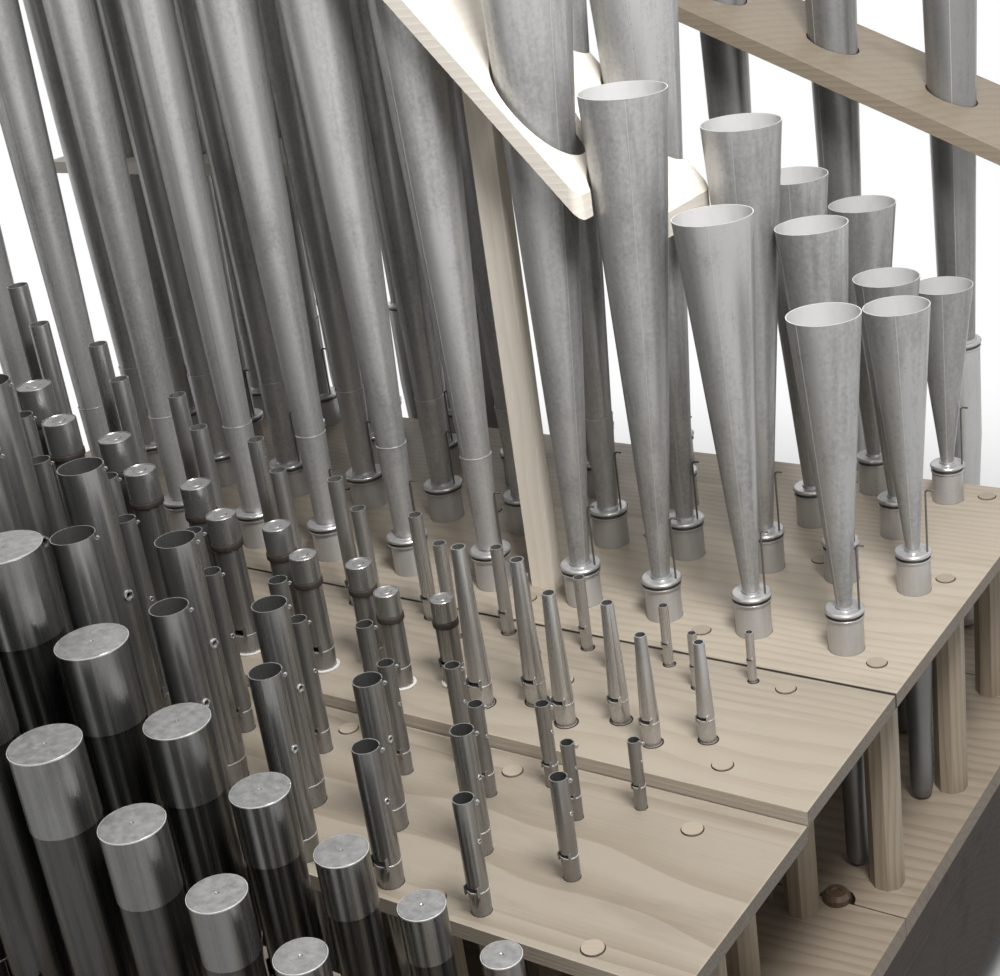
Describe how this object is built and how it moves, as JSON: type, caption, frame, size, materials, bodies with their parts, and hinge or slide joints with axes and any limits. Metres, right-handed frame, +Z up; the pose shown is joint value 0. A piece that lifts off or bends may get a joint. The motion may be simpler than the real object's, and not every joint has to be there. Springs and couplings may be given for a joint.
{
  "type": "pipe organ",
  "caption": "Treble end of a pipe organ's wind chest: ranks of metal flue pipes, capped pipes and conical reed pipes standing in wooden rack boards on pillars.",
  "frame": {"origin": "centre of the footprint, on the floor", "axes": "+X along the chest towards the treble end, +Y from the front of the chest to its back, +Z up"},
  "size_m": [1.5, 1.55, 3.046],
  "materials": {
    "dark_wood": "dark stained pine, worn satin",
    "turned_wood": "turned hardwood, waxed",
    "board_wood": "pale pine, oiled, grain along the board",
    "frame_wood": "pale beech, planed",
    "cap_metal": "tin and lead alloy, dull polish",
    "pipe_metal": "tin and lead alloy, planed and handled",
    "resonator_metal": "spotted tin and lead alloy, planed",
    "boot_metal": "lead alloy, dull",
    "cast_lead": "cast lead, turned",
    "wire": "drawn wire",
    "leather": "thin glued leather",
    "felt": "white wool felt"
  },
  "bodies": {
    "root": {"floor_bearers": "dark_wood", "wind_chest": "dark_wood", "front_panels": "dark_wood", "chest_table": "dark_wood", "toe_board_front": "board_wood", "toe_board_middle": "board_wood", "toe_board_rear": "board_wood", "toe_board_back": "board_wood", "toe_board_buttons": "turned_wood", "rack_pillars": "frame_wood", "low_rack_pillars": "frame_wood", "low_rack_ledger": "board_wood", "rack_board_low": "board_wood", "rack_board_front": "board_wood", "rack_board_middle": "board_wood", "rack_board_rear": "board_wood", "stopped_pipes": "pipe_metal", "stopped_caps": "cap_metal", "principal_pipes": "pipe_metal", "octave_pipes": "pipe_metal", "tapered_pipes": "pipe_metal", "flute_pipes": "pipe_metal", "flute_caps": "cap_metal", "flute_bands": "leather", "flute_felts": "felt", "piccolo_pipes": "pipe_metal", "trumpet_boots": "boot_metal", "trumpet_blocks": "cast_lead", "trumpet_resonators": "resonator_metal", "trumpet_tuning_wires": "wire", "clarion_boots": "boot_metal", "clarion_blocks": "cast_lead", "clarion_resonators": "resonator_metal", "clarion_tuning_wires": "wire", "bass_reed_boots": "boot_metal", "bass_reed_blocks": "cast_lead", "bass_reed_resonators": "resonator_metal", "trumpet_rack": "frame_wood", "trumpet_rack_posts": "frame_wood", "clarion_rack": "frame_wood", "clarion_rack_posts": "frame_wood", "bass_rack": "frame_wood", "bass_rack_posts": "frame_wood"}
  },
  "joints": []
}
